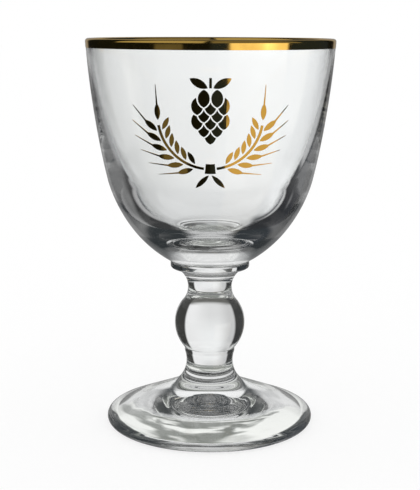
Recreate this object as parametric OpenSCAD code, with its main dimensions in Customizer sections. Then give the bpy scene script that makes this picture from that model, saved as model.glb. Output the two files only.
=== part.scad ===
// Stemmed beer tasting glass: a thick-bottomed bowl fused to a collar, a stem with a ball knop and a flared foot.
// The lip is gilded, and a wreath of barley with a hop cone is printed in gold on the front of the bowl.
// Heights run up from the table, which the foot stands on, and the axis of the glass is the Z axis.

/* [Bowl] */
// Outer diameter at the lip
rim_d = 80; // [76:0.5:84]
// Height of the bowl above the collar
bowl_h = 72.2; // [68:0.1:78]
// Thickness of the wall at the lip
lip_wall = 1.7; // [1.3:0.1:2.1]
// Lean of the outer wall from the vertical at the lip, in degrees
lip_lean = 3.5; // [2:0.5:6]
// Outer diameter at the belly, where the wall turns in
belly_d = 66.9; // [64:0.1:70]
// Height of the belly above the collar
belly_h = 27.1; // [25:0.1:30]
// Lean of the outer wall at the belly, in degrees
belly_lean = 13.6; // [10:0.2:18]
// Lean of the outer wall where it meets the collar, in degrees
base_lean = 61; // [55:1:66]
// Thickness of the wall at the belly, measured level
belly_wall = 5.4; // [4:0.1:6.6]
// Lean of the inner wall at the belly, in degrees
cavity_lean = 25.5; // [22:0.5:29]
// Thickness of the solid glass under the drink
bowl_floor = 9.7; // [8:0.1:12]
// Diameter of the bowl's bottom, where it is fused to the collar
bowl_weld_d = 26; // [24:0.1:27]

/* [Collar] */
// Diameter of the collar
collar_d = 26.1; // [24:0.1:30]
// Thickness of the collar
collar_h = 2.4; // [1.6:0.1:3.2]
// Rounding of the collar's edge
collar_round = 0.7; // [0.3:0.05:0.8]

/* [Stem] */
// Height of the stem between the foot and the collar
stem_h = 28.5; // [26.5:0.1:32]
// Diameter of the ball knop
knop_d = 23.3; // [21.5:0.1:25]
// Radius of the knop's lower half, which is a little fuller than a ball
knop_low_r = 12.9; // [12.5:0.1:13.5]
// Radius of the fillet below the knop
knop_low_fillet = 1; // [0.5:0.1:2]
// Smallest diameter of the neck above the knop
upper_neck_d = 14.5; // [12:0.1:16]
// Radius of the fillet between the knop and that neck
knop_top_fillet = 6.9; // [5:0.1:8.5]
// Diameter of the stem under the collar
stem_top_d = 23.6; // [20:0.1:25]
// Diameter of the stem on the foot
stem_base_d = 16.7; // [15:0.1:18]
// Height of the straight part at the foot
stem_base_h = 0.8; // [0.4:0.1:1]

/* [Foot] */
// Diameter of the foot
foot_d = 69; // [64:0.5:76]
// Height of the foot, with its part of the neck
foot_h = 24; // [23:0.1:26]
// Thickness of the foot's rounded edge
foot_edge = 3.7; // [3:0.1:4.5]
// Smallest diameter of the neck below the knop
lower_neck_d = 15.5; // [13.5:0.1:16.2]
// Depth of that neck's narrowest place below the stem
lower_neck_drop = 3.4; // [2.4:0.1:4.4]
// Radius of the sweep from the neck to the top of the foot
flare_r = 9.6; // [7:0.1:11]
// Width of the flat ring that touches the table
rest_w = 2.5; // [1.5:0.1:4]
// Height of the hollow underneath, measured round the dimple
hollow_h = 4.5; // [3:0.1:5.5]
// Diameter of the dimple in the middle of the underside
dimple_d = 22; // [14:0.5:24]
// Height of the dimple's middle above the table
dimple_h = 5.7; // [5.6:0.1:8]

/* [Gilding] */
// Thickness of the fired gold
gilt_t = 0.1; // [0.06:0.01:0.2]
// Height of the gold band outside the lip
band_out_h = 2.8; // [1.5:0.1:5]
// Height of the gold band inside the lip
band_in_h = 0.9; // [0.3:0.1:2]
// Depth of the wreath's middle below the lip
print_drop = 22.2; // [20:0.1:24]
// Radius of the wreath, to the middle of its ears
wreath_r = 15.5; // [14.5:0.1:17]
// Length of a barley grain
grain_l = 5; // [4.2:0.1:5.6]
// Width of a barley grain
grain_w = 1.7; // [1.3:0.1:1.8]
// Length of a beard
beard_l = 6; // [4:0.1:7.5]
// Width of a beard where it leaves its grain
beard_w = 0.5; // [0.35:0.05:0.6]
// Width of a stalk
stalk_w = 0.8; // [0.5:0.05:1]
// Height of the band that ties the stalks
tie_h = 3; // [2:0.1:4]
// Length of the band's tails
tail_l = 5.6; // [4:0.1:7]
// Width of the band's tails
tail_w = 1.5; // [1:0.1:2]
// Width of a scale of the hop cone
scale_w = 3.5; // [2.6:0.1:3.8]
// Length of a scale of the hop cone
scale_l = 5.2; // [4:0.1:5.6]
// Width of the leaves over the hop cone
leaf_w = 2.4; // [1.8:0.1:3]
// Length of the leaves over the hop cone
leaf_l = 6; // [4.5:0.1:7]
// Clear glass between neighbouring parts of the print
print_gap = 0.4; // [0.3:0.05:0.5]

/* [Hidden] */

glass_colour = [0.80, 0.87, 0.88, 0.55];
gold_colour = [0.86, 0.66, 0.25];

// Steps in a curved stretch, and facets drawn round the axis
wall_steps = 16;
fillet_steps = 6;
knop_steps = 10;
leaf_steps = 5;
round_facets = 128;

// Radii
rim_r = rim_d / 2;
belly_r = belly_d / 2;
bowl_weld_r = bowl_weld_d / 2;
lip_round = lip_wall / 2;
collar_r = collar_d / 2;
knop_r = knop_d / 2;
upper_neck_r = upper_neck_d / 2;
stem_top_r = stem_top_d / 2;
stem_base_r = stem_base_d / 2;
foot_r = foot_d / 2;
foot_edge_r = foot_edge / 2;
lower_neck_r = lower_neck_d / 2;
rest_in_r = foot_r - foot_edge_r - rest_w;
dimple_r = dimple_d / 2;

// Heights of the fused seats, of the neck in the foot and of the wreath's middle above the collar
collar_seat = foot_h + stem_h;
bowl_seat = collar_seat + collar_h;
lower_neck_rise = foot_h - lower_neck_drop;
print_rise = bowl_h - print_drop;

// How far each wall curve holds its first and last direction, as shares of its straight length
side_reach_shares = [0.36, 0.24];
base_reach_shares = [0.10, 0.50];
cavity_side_reach_shares = [0.31, 0.255];
cavity_base_reach_shares = [0.527, 0.425];

// Lean of the inner wall at the lip, in degrees
cavity_lip_lean = 2;
level = 90;
half_turn = 180;

// How far the stem has turned outwards under the collar, in degrees
top_flare_a = 68;

// How roundly the hollow runs down to the flat ring, where 1 is a cone
hollow_power = 1.8;

// Point at share t of a curve from p to q that is drawn towards c and d
function curve_point(p, c, d, q, t) =
    pow(1 - t, 3) * p + 3 * pow(1 - t, 2) * t * c + 3 * (1 - t) * t * t * d + pow(t, 3) * q;

// Direction down and inwards at a lean from the vertical
function down_at(lean) = [-sin(lean), -cos(lean)];

// Smooth wall line from p down to q, with its lean at each end
function wall_line(p, lean_p, q, lean_q, reach_shares) =
    let (
        span = norm(q - p),
        c = p + reach_shares[0] * span * down_at(lean_p),
        d = q - reach_shares[1] * span * down_at(lean_q)
    )
    [for (i = [0:wall_steps]) curve_point(p, c, d, q, i / wall_steps)];

// Points along an arc, ends included
function arc_line(centre, r, from_a, to_a, steps) =
    [for (i = [0:steps]) let (a = from_a + (to_a - from_a) * i / steps) centre + r * [cos(a), sin(a)]];

function reversed(points) = [for (i = [len(points) - 1:-1:0]) points[i]];

// Radius of the arc that starts upright and has moved out by w after a height h
function sweep_radius(w, h) = (w * w + h * h) / (2 * w);

// Line that leaves p upright and has turned outwards by about end_a degrees where it reaches q
function flare_line(p, q, end_a) = [
    for (i = [0:2 * fillet_steps])
        let (a = end_a * i / (2 * fillet_steps))
        [p[0] + (q[0] - p[0]) * (1 - cos(a)) / (1 - cos(end_a)), p[1] + (q[1] - p[1]) * sin(a) / sin(end_a)]
];

// Height from the middle of an arc to the upright end of the fillet that meets it, w outside that middle
function fillet_reach(ball_r, fillet, w) = sqrt(pow(ball_r + fillet, 2) - pow(w + fillet, 2));

// Outward direction of a line of points at one of them
function outward(points, i) =
    let (
        a = points[max(i - 1, 0)],
        b = points[min(i + 1, len(points) - 1)],
        along = (b - a) / norm(b - a)
    )
    [along[1], -along[0]];

// Closed skin of thickness t on the outer side of a line that runs up the outside
function skin(points, t) =
    concat(points, reversed([for (i = [0:len(points) - 1]) points[i] + t * outward(points, i)]));

// Radius of a wall line at a height
function radius_at(points, z) = lookup(z, [for (p = points) [p[1], p[0]]]);

// The bowl's wall lines, from the lip down, with heights above the collar
lip_centre = [rim_r - lip_round, bowl_h - lip_round];
lip_out = lip_centre + lip_round * [cos(lip_lean), -sin(lip_lean)];
lip_in = lip_centre + lip_round * [-cos(cavity_lip_lean), -sin(cavity_lip_lean)];
belly_out = [belly_r, belly_h];
belly_in = [belly_r - belly_wall, belly_h];
side_line = wall_line(lip_out, lip_lean, belly_out, belly_lean, side_reach_shares);
base_line = wall_line(belly_out, belly_lean, [bowl_weld_r, 0], base_lean, base_reach_shares);
cavity_side_line = wall_line(lip_in, cavity_lip_lean, belly_in, cavity_lean, cavity_side_reach_shares);
cavity_base_line = wall_line(belly_in, cavity_lean, [0, bowl_floor], level, cavity_base_reach_shares);
lip_line = arc_line(lip_centre, lip_round, -lip_lean, half_turn + cavity_lip_lean, 2 * fillet_steps);

// The gold band runs up the outside, over the lip and down inside
band_low = lip_out[1] - band_out_h + lip_round;
band_in_low = lip_in[1] - band_in_h + lip_round;
band_line = concat(
    [[radius_at(side_line, band_low), band_low]],
    [for (p = reversed(side_line)) if (p[1] > band_low && p[1] < lip_out[1]) p],
    lip_line,
    [for (p = cavity_side_line) if (p[1] > band_in_low && p[1] < lip_in[1]) p],
    [[radius_at(cavity_side_line, band_in_low), band_in_low]]
);

// The wreath: where things sit round it, in degrees from its lowest point, and how far they tilt
tie_a = 7;
first_grain_a = 18;
last_grain_a = 86;
grain_pairs = 6;
outer_tilt = 35;
inner_tilt = 42;
beard_tilt = 25;
tail_tilt = 135;

// Size of an inner grain beside an outer one, and width of a beard's end beside its start
inner_share = 0.85;
beard_tip_share = 0.3;

// The hop cone: how many scales each row holds, from the top down, how far a row shows under the one
// above it, and how far its leaves tilt
hop_rows = [2, 3, 2, 3, 2, 1];
row_share = 0.42;
hop_leaf_tilt = 62;

// Revolves a closed outline round the axis
module turned(points) {
    rotate_extrude($fn = round_facets) polygon(points);
}

// Foot

// Underside of the foot at a radius: a dimple in the middle of the hollow
function underside(r) =
    r < dimple_r
        ? hollow_h + (dimple_h - hollow_h) * (1 + cos(half_turn * r / dimple_r)) / 2
        : hollow_h * (1 - pow((r - dimple_r) / (rest_in_r - dimple_r), hollow_power));

module foot() {
    flare_centre = [lower_neck_r + flare_r, lower_neck_rise];
    edge_centre = [foot_r - foot_edge_r, foot_edge_r];
    apart = flare_centre - edge_centre;
    top_slope = atan2(apart[1], apart[0]) - acos((flare_r + foot_edge_r) / norm(apart));
    neck_r = sweep_radius(stem_base_r - lower_neck_r, foot_h - lower_neck_rise);
    neck_a = asin((foot_h - lower_neck_rise) / neck_r);
    under_line = concat(
        [for (i = [0:wall_steps]) let (r = dimple_r * i / wall_steps) [r, underside(r)]],
        [for (i = [1:wall_steps]) let (r = dimple_r + (rest_in_r - dimple_r) * i / wall_steps) [r, underside(r)]]
    );
    color(glass_colour)
    turned(concat(
        under_line,
        arc_line(edge_centre, foot_edge_r, -level, top_slope, 2 * fillet_steps),
        arc_line(flare_centre, flare_r, half_turn + top_slope, half_turn, 2 * fillet_steps),
        arc_line([lower_neck_r + neck_r, lower_neck_rise], neck_r, half_turn, half_turn - neck_a, fillet_steps),
        [[0, foot_h]]
    ));
}

// Stem

module stem() {
    low_centre_r = knop_r - knop_low_r;
    knop_rise = stem_base_h + fillet_reach(knop_low_r, knop_low_fillet, stem_base_r - low_centre_r);
    neck_rise = knop_rise + fillet_reach(knop_r, knop_top_fillet, upper_neck_r);
    base_centre = [stem_base_r + knop_low_fillet, stem_base_h];
    neck_centre = [upper_neck_r + knop_top_fillet, neck_rise];
    low_a = atan2(stem_base_h - knop_rise, base_centre[0] - low_centre_r);
    high_a = atan2(neck_rise - knop_rise, neck_centre[0]);
    color(glass_colour)
    translate([0, 0, foot_h])
    turned(concat(
        [[0, 0], [stem_base_r, 0]],
        arc_line(base_centre, knop_low_fillet, half_turn, half_turn + low_a, fillet_steps),
        arc_line([low_centre_r, knop_rise], knop_low_r, low_a, 0, knop_steps),
        arc_line([0, knop_rise], knop_r, 0, high_a, knop_steps),
        arc_line(neck_centre, knop_top_fillet, half_turn + high_a, half_turn, fillet_steps),
        flare_line([upper_neck_r, neck_rise], [stem_top_r, stem_h], top_flare_a),
        [[0, stem_h]]
    ));
}

// Collar

module collar() {
    color(glass_colour)
    translate([0, 0, collar_seat])
    turned(concat(
        [[0, 0]],
        arc_line([collar_r - collar_round, collar_round], collar_round, -level, 0, fillet_steps),
        arc_line([collar_r - collar_round, collar_h - collar_round], collar_round, 0, level, fillet_steps),
        [[0, collar_h]]
    ));
}

// Bowl

module bowl() {
    color(glass_colour)
    translate([0, 0, bowl_seat])
    turned(concat([[0, 0]], reversed(base_line), reversed(side_line), lip_line, cavity_side_line, cavity_base_line));
}

// Gold band on the lip

module rim_gilding() {
    color(gold_colour)
    translate([0, 0, bowl_seat])
    turned(skin(band_line, gilt_t));
}

// Gold print

// Lays a flat drawing on the front of the bowl as a thin skin of gold
module printed() {
    color(gold_colour)
    translate([0, 0, bowl_seat])
    intersection() {
        turned(skin(concat(reversed(base_line), reversed(side_line)), gilt_t));
        translate([0, 0, print_rise])
        rotate([level, 0, 0])
        linear_extrude(rim_d) children();
    }
}

// Pointed oval that stands on its lower tip
module leaf(l, w) {
    r = sweep_radius(w / 2, l / 2);
    a = asin(l / 2 / r);
    translate([0, l / 2])
    polygon(concat(
        arc_line([w / 2 - r, 0], r, -a, a, leaf_steps),
        arc_line([r - w / 2, 0], r, half_turn - a, half_turn + a, leaf_steps)
    ));
}

// Stretch of a ring round the wreath's middle
module ring_stretch(w, from_a, to_a) {
    steps = ceil((to_a - from_a) / fillet_steps);
    polygon(concat(
        arc_line([0, 0], wreath_r - w / 2, from_a - level, to_a - level, steps),
        arc_line([0, 0], wreath_r + w / 2, to_a - level, from_a - level, steps)
    ));
}

// A beard that stands on the tip of a grain and bends away from the grain's line by bend degrees
module beard(bend) {
    translate([0, grain_l - beard_w])
    rotate(bend)
    polygon([
        [-beard_w / 2, 0], [beard_w / 2, 0],
        [beard_tip_share * beard_w / 2, beard_l], [-beard_tip_share * beard_w / 2, beard_l]
    ]);
}

// Places a grain at an angle round the wreath, off to one side of the stalk
module on_wreath(a, side, tilt) {
    rotate(a)
    translate([0, -wreath_r - side])
    rotate(-level - tilt)
    children();
}

// One ear of barley, drawn for the right side of the wreath
module barley_ear() {
    step_a = (last_grain_a - first_grain_a) / grain_pairs;
    grain_side = stalk_w / 2 + print_gap;
    ring_stretch(stalk_w, tie_a, last_grain_a - step_a / 2);
    for (i = [0:grain_pairs - 1]) {
        on_wreath(first_grain_a + step_a * i, grain_side, outer_tilt) {
            leaf(grain_l, grain_w);
            beard(outer_tilt - beard_tilt);
        }
        on_wreath(first_grain_a + step_a * i, -grain_side, -inner_tilt)
            leaf(inner_share * grain_l, inner_share * grain_w);
    }
    on_wreath(last_grain_a, 0, 0) {
        leaf(grain_l, grain_w);
        beard(0);
    }
}

module barley_left() {
    printed() mirror([1, 0]) barley_ear();
}

module barley_right() {
    printed() barley_ear();
}

// One row of hop scales, each grown by an edge on every side
module hop_row(row, edge) {
    count = hop_rows[row];
    pitch = scale_w + print_gap;
    for (i = [0:count - 1])
        translate([(i - (count - 1) / 2) * pitch, -row * row_share * scale_l - edge])
        leaf(scale_l + 2 * edge, scale_w + 2 * edge);
}

module hop_cone() {
    cone_h = scale_l * (1 + row_share * (len(hop_rows) - 1));
    printed()
    translate([0, cone_h / 2 - scale_l]) {
        for (row = [0:len(hop_rows) - 1])
            difference() {
                hop_row(row, 0);
                if (row > 0) hop_row(row - 1, print_gap);
                if (row > 1) hop_row(row - 2, print_gap);
            }
        for (side = [-1, 1])
            translate([side * (stalk_w / 2 + print_gap), scale_l + print_gap])
            rotate(-side * hop_leaf_tilt)
            leaf(leaf_l, leaf_w);
        translate([-stalk_w / 2, scale_l + print_gap]) square([stalk_w, tie_h]);
    }
}

module wreath_tie() {
    band_a = tie_a - atan2(print_gap, wreath_r);
    printed() {
        ring_stretch(tie_h, -band_a, band_a);
        for (side = [-1, 1])
            translate([side * print_gap, -wreath_r - tie_h / 2 - print_gap])
            rotate(side * -tail_tilt)
            leaf(tail_l, tail_w);
    }
}

foot();
stem();
collar();
bowl();
rim_gilding();
barley_left();
barley_right();
hop_cone();
wreath_tie();
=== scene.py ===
"""Dresses the beer tasting glass: clear fused glass, a gilded lip and a gold print on the bowl."""

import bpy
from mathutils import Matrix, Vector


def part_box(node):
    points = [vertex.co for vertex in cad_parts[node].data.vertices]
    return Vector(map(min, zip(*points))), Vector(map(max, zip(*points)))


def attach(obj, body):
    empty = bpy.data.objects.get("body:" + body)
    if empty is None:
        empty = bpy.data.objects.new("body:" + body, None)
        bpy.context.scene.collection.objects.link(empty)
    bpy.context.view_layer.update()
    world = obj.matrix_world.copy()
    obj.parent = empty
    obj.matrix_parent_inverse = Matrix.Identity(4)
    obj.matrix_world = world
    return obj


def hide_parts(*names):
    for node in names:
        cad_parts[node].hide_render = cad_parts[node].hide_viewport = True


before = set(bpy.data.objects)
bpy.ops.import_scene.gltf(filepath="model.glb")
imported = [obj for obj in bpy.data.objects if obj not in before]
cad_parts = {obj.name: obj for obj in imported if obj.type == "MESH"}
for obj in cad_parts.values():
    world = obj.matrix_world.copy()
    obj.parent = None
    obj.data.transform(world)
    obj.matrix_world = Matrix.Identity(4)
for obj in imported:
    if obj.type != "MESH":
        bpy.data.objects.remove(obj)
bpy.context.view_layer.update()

import logging
import math
from dataclasses import dataclass, field
from enum import Enum
from typing import Iterable, Sequence, Union

import bmesh
import bpy
import numpy as np
from mathutils import Matrix

log = logging.getLogger("beer_tasting_glass")

MM = 0.001
BODY = "root"

# The photograph's frame and camera, in pixels, metres and degrees
PHOTO_HEIGHT = 490
FOCAL_PIXELS = 1146.0
SENSOR_MM = 36.0
CAMERA_BACK = 372.9 * MM
CAMERA_RISE = 131.5 * MM
CAMERA_PITCH = 10.89
CAMERA_ROLL = 0.2

# Depth of the print's middle under the bowl's lip
PRINT_DROP = 22.2 * MM

# Distances under which two points are one, in a drawn line and in a closed mesh
SAME_POINT = 1e-7
SAME_CORNER = 2e-6

# What is added to a share of the full turn before whole turns are dropped, so that the seam's two sides meet
TURN_HAIR = 1e-6

# Share of the weld above which a face is inside it
INSIDE_WELD = 0.99

# How many finer noises a wave, a spot of gold and a painted line of caustic light have in them
WAVE_DETAIL = 1.0
SPOT_DETAIL = 3.0
STREAK_DETAIL = 2.0

# Stretches that lines are drawn with
ROUNDING_STEPS = 12
ROUND_STEPS = 24
NECK_STEPS = 30
SLOPE_STEPS = 40
SIDE_STEPS = 48
CAVITY_STEPS = 60
UNDERSIDE_STEPS = 63
LIP_STEPS = 96
STALK_STEPS = 48
SCALE_STEPS = 24
BAND_STEPS = 8

# What parts the ways of seeing the studio: surfaces crossed and mirrorings, each between two counts
BOTH_WALLS = 2.5
ONE_MIRRORING = 0.5
SEVERAL_MIRRORINGS = 2.5
MANY_MIRRORINGS = 12.5

WHITE = (1.0, 1.0, 1.0, 1.0)

Point = tuple[float, float]
Feed = Union[bpy.types.Node, bpy.types.NodeSocket, float, int, bool, str, Sequence[float], bpy.types.ID]


# Colours and nodes

def linear(hex_colour: str) -> tuple[float, float, float, float]:
    """Turns an sRGB colour into the linear values that shaders take.

    Args:
        hex_colour: The colour as #rrggbb.

    Returns:
        Red, green, blue and an alpha of one.
    """
    channels = [int(hex_colour[i:i + 2], 16) / 255 for i in (1, 3, 5)]
    red, green, blue = (c / 12.92 if c <= 0.04045 else ((c + 0.055) / 1.055) ** 2.4 for c in channels)
    return red, green, blue, 1.0


def first_output(node: bpy.types.Node) -> bpy.types.NodeSocket:
    """Returns the first output that a node has in use."""
    return next(output for output in node.outputs if output.enabled)


def add_node(tree: bpy.types.NodeTree, kind: str, settings: dict[str, object] | None = None,
             feeds: dict[str, Feed] | Sequence[Feed] = ()) -> bpy.types.Node:
    """Adds one node with its settings and what feeds its inputs.

    Args:
        tree: The node tree that gets the node.
        kind: The node's type.
        settings: The node's own properties.
        feeds: What goes into the inputs, by name or from the first one on. A node or a socket is linked, and
            a node stands for its first output in use. Anything else is set as the value.

    Returns:
        The new node.
    """
    node = tree.nodes.new(kind)
    for name, value in (settings or {}).items():
        setattr(node, name, value)
    inputs = [socket for socket in node.inputs if socket.enabled]
    named = {socket.name: socket for socket in reversed(inputs)}
    by_name = isinstance(feeds, dict)
    for place, value in feeds.items() if by_name else enumerate(feeds):
        socket = named[place] if by_name else inputs[place]
        if isinstance(value, bpy.types.Node):
            value = first_output(value)
        if isinstance(value, bpy.types.NodeSocket):
            tree.links.new(value, socket)
        else:
            socket.default_value = value
    return node


def place_object(name: str, data: bpy.types.ID) -> bpy.types.Object:
    """Puts a mesh or a camera into the scene.

    Args:
        name: The object's name.
        data: The mesh or the camera.

    Returns:
        The object, at the origin.
    """
    made = bpy.data.objects.new(name, data)
    bpy.context.scene.collection.objects.link(made)
    return made


def new_tree(name: str, kind: str, inputs: dict[str, str], outputs: dict[str, str]) -> tuple[
        bpy.types.NodeTree, bpy.types.Node, bpy.types.Node]:
    """Starts a node group.

    Args:
        name: The group's name.
        kind: The tree's type.
        inputs: The socket type of each named input.
        outputs: The socket type of each named output.

    Returns:
        The tree, its input node and its output node.
    """
    tree = bpy.data.node_groups.new(name, kind)
    for socket, socket_type in inputs.items():
        tree.interface.new_socket(socket, in_out="INPUT", socket_type=socket_type)
    for socket, socket_type in outputs.items():
        tree.interface.new_socket(socket, in_out="OUTPUT", socket_type=socket_type)
    return tree, tree.nodes.new("NodeGroupInput"), tree.nodes.new("NodeGroupOutput")


# Finishes

@dataclass(frozen=True)
class Finish:
    """A surface finish that one material shows."""

    name: str

    def material(self) -> bpy.types.Material:
        """Makes the finish's material at its first use.

        Returns:
            The material.
        """
        found = bpy.data.materials.get(self.name)
        if found is not None:
            return found
        made = bpy.data.materials.new(self.name)
        made.use_nodes = True
        made.node_tree.nodes.clear()
        shader = self.shader(made.node_tree)
        add_node(made.node_tree, "ShaderNodeOutputMaterial", feeds={"Surface": shader})
        return made

    def shader(self, tree: bpy.types.NodeTree) -> bpy.types.Node:
        """Adds the finish's shader to a material's tree and returns it."""
        raise NotImplementedError


@dataclass(frozen=True)
class SodaLimeGlass(Finish):
    """Clear soda-lime glass, blown or pressed and then fire-polished.

    It is smooth and has no grain, but the tool or the cold mould leaves faint waves in it.
    """

    colour: str = "#fcfdfd"
    ior: float = 1.52
    wave_length: float = 12 * MM
    wave_height: float = 0.008 * MM

    def shader(self, tree: bpy.types.NodeTree) -> bpy.types.Node:
        """Adds clear glass with its waves.

        Args:
            tree: The material's tree.

        Returns:
            The shader's node.
        """
        place = add_node(tree, "ShaderNodeTexCoord").outputs["Object"]
        waves = add_node(tree, "ShaderNodeTexNoise", feeds={
            "Vector": place, "Scale": 1 / self.wave_length, "Detail": WAVE_DETAIL})
        bump = add_node(tree, "ShaderNodeBump", feeds={"Height": waves, "Distance": self.wave_height})
        return add_node(tree, "ShaderNodeBsdfPrincipled", feeds={
            "Base Color": linear(self.colour), "Roughness": 0.0, "IOR": self.ior, "Transmission Weight": 1.0,
            "Normal": bump})


@dataclass(frozen=True)
class FusedGlass(Finish):
    """The faces inside a hot weld, which light crosses as if they weren't there."""

    def shader(self, tree: bpy.types.NodeTree) -> bpy.types.Node:
        """Adds a shader that can't be seen and returns it."""
        return add_node(tree, "ShaderNodeBsdfPrincipled", feeds={"Alpha": 0.0, "Transmission Weight": 1.0})


@dataclass(frozen=True)
class BrightGold(Finish):
    """Bright gold, brushed or printed on as liquid gold and fired at about 550 degrees.

    The film is as smooth as the glass under it, but for faint strokes and thinner spots. Light that the glass
    mirrors many times inside keeps its own colour on the film's back.
    """

    colour: str = "#ffd56f"
    thin_colour: str = "#f2c466"
    back_colour: str = "#f2f2f2"
    roughness: float = 0.05
    thin_roughness: float = 0.12
    stroke: float = 2.2 * MM
    stroke_height: float = 0.004 * MM
    thick_spot: float = 0.3
    thin_spot: float = 0.7

    def shader(self, tree: bpy.types.NodeTree) -> bpy.types.Node:
        """Adds polished gold with its strokes and thinner spots.

        Args:
            tree: The material's tree.

        Returns:
            The shader's node.
        """
        place = add_node(tree, "ShaderNodeTexCoord").outputs["Object"]
        spots = add_node(tree, "ShaderNodeTexNoise", feeds={
            "Vector": place, "Scale": 1 / self.stroke, "Detail": SPOT_DETAIL})
        film = add_node(tree, "ShaderNodeMix", {"data_type": "RGBA"}, {
            "Factor": spots, "A": linear(self.colour), "B": linear(self.thin_colour)})
        mirrorings = add_node(tree, "ShaderNodeLightPath").outputs["Glossy Depth"]
        inside = add_node(tree, "ShaderNodeMath", {"operation": "GREATER_THAN"}, (
            mirrorings, SEVERAL_MIRRORINGS))
        colour = add_node(tree, "ShaderNodeMix", {"data_type": "RGBA"}, {
            "Factor": inside, "A": film, "B": linear(self.back_colour)})
        rough = add_node(tree, "ShaderNodeMapRange", feeds={
            "Value": spots, "From Min": self.thick_spot, "From Max": self.thin_spot,
            "To Min": self.roughness, "To Max": self.thin_roughness})
        bump = add_node(tree, "ShaderNodeBump", feeds={"Height": spots, "Distance": self.stroke_height})
        return add_node(tree, "ShaderNodeBsdfPrincipled", feeds={
            "Base Color": colour, "Metallic": 1.0, "Roughness": rough, "Normal": bump})


@dataclass(frozen=True)
class TablePaint(Finish):
    """Matt white paint on the table, with a painted shade and painted caustic light under the foot.

    Straight views see the paint. Light that went through glass sees the painted shade with its painted bright
    caustic light, and past the painted shade's edge it sees the studio.
    """

    glow: float = 0.72
    # The painted shade under the foot and the painted caustic light in it, which only light that went through
    # glass sees
    shade_radius: float = 34 * MM
    shade_edge: float = 5 * MM
    painted_shade_colour: str = "#8a8d88"
    painted_caustic_colour: str = "#fbfcf8"
    streak_start: float = 6 * MM
    streak_full: float = 13 * MM
    streak_width: float = 9 * MM
    streak_turns: float = 1.1
    streak_warp: float = 0.6
    dark_height: float = 0.46
    bright_height: float = 0.61
    painted_caustic_lean: float = 0.10
    painted_caustic_bow: float = 0.16

    def painted_caustics(self, tree: bpy.types.NodeTree, place: bpy.types.NodeSocket,
                distance: bpy.types.NodeSocket) -> bpy.types.Node:
        """Adds painted caustic light in wavy lines on the table, standing in for what the foot's waves would
        throw, more of it on the right.

        Args:
            tree: The material's tree.
            place: The place on the table.
            distance: Its distance from the glass's axis.

        Returns:
            The node that is nought in the painted shade and one in the painted light.
        """
        way = add_node(tree, "ShaderNodeVectorMath", {"operation": "NORMALIZE"}, (place,))
        flat = add_node(tree, "ShaderNodeSeparateXYZ", feeds=(way,))
        turns = self.streak_turns
        x = add_node(tree, "ShaderNodeMath", {"operation": "MULTIPLY"}, (flat.outputs["X"], turns))
        y = add_node(tree, "ShaderNodeMath", {"operation": "MULTIPLY"}, (flat.outputs["Y"], turns))
        out = add_node(tree, "ShaderNodeMath", {"operation": "DIVIDE"}, (distance, self.streak_width))
        ring = add_node(tree, "ShaderNodeCombineXYZ", feeds=(x, y, out))
        noise = add_node(tree, "ShaderNodeTexNoise", feeds={
            "Vector": ring, "Scale": 1.0, "Detail": STREAK_DETAIL, "Distortion": self.streak_warp})
        beside = add_node(tree, "ShaderNodeSeparateXYZ", feeds=(place,)).outputs["X"]
        across = add_node(tree, "ShaderNodeMath", {"operation": "DIVIDE"}, (beside, self.shade_radius))
        # Painted caustic light leans brighter towards the right, as if the light fell from that side
        lean = add_node(tree, "ShaderNodeMath", {"operation": "MULTIPLY_ADD"}, (
            across, self.painted_caustic_bow, self.painted_caustic_lean))
        height = add_node(tree, "ShaderNodeMath", {"operation": "MULTIPLY_ADD"}, (across, lean, noise))
        light = add_node(tree, "ShaderNodeMapRange", {"interpolation_type": "SMOOTHSTEP"}, {
            "Value": height, "From Min": self.dark_height, "From Max": self.bright_height})
        away = add_node(tree, "ShaderNodeMapRange", {"interpolation_type": "SMOOTHSTEP"}, {
            "Value": distance, "From Min": self.streak_start, "From Max": self.streak_full})
        return add_node(tree, "ShaderNodeMath", {"operation": "MULTIPLY"}, (light, away))

    def shader(self, tree: bpy.types.NodeTree) -> bpy.types.Node:
        """Adds the paint and the painted shade, and shows each to the light that sees it.

        Args:
            tree: The material's tree.

        Returns:
            The shader's node.
        """
        path = add_node(tree, "ShaderNodeLightPath")
        paint = add_node(tree, "ShaderNodeBsdfDiffuse", feeds={"Color": WHITE})
        white = add_node(tree, "ShaderNodeEmission", feeds={"Strength": 1.0})
        glow = add_node(tree, "ShaderNodeMath", {"operation": "MULTIPLY"}, (
            path.outputs["Is Camera Ray"], self.glow))
        straight = add_node(tree, "ShaderNodeMixShader", feeds=(glow, paint, white))
        place = add_node(tree, "ShaderNodeTexCoord").outputs["Object"]
        distance = add_node(tree, "ShaderNodeVectorMath", {"operation": "LENGTH"}, (place,)).outputs["Value"]
        colour = add_node(tree, "ShaderNodeMix", {"data_type": "RGBA"}, {
            "Factor": self.painted_caustics(tree, place, distance), "A": linear(self.painted_shade_colour),
            "B": linear(self.painted_caustic_colour)})
        # An emission that paints the shade and the caustic light under the foot
        shade = add_node(tree, "ShaderNodeEmission", feeds={"Color": colour})
        clear = add_node(tree, "ShaderNodeBsdfTransparent")
        shaded = add_node(tree, "ShaderNodeMapRange", {"interpolation_type": "SMOOTHSTEP"}, {
            "Value": distance, "From Min": self.shade_radius,
            "From Max": self.shade_radius - self.shade_edge})
        below = add_node(tree, "ShaderNodeMixShader", feeds=(shaded, clear, shade))
        through = path.outputs["Is Transmission Ray"]
        return add_node(tree, "ShaderNodeMixShader", feeds=(through, straight, below))


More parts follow.
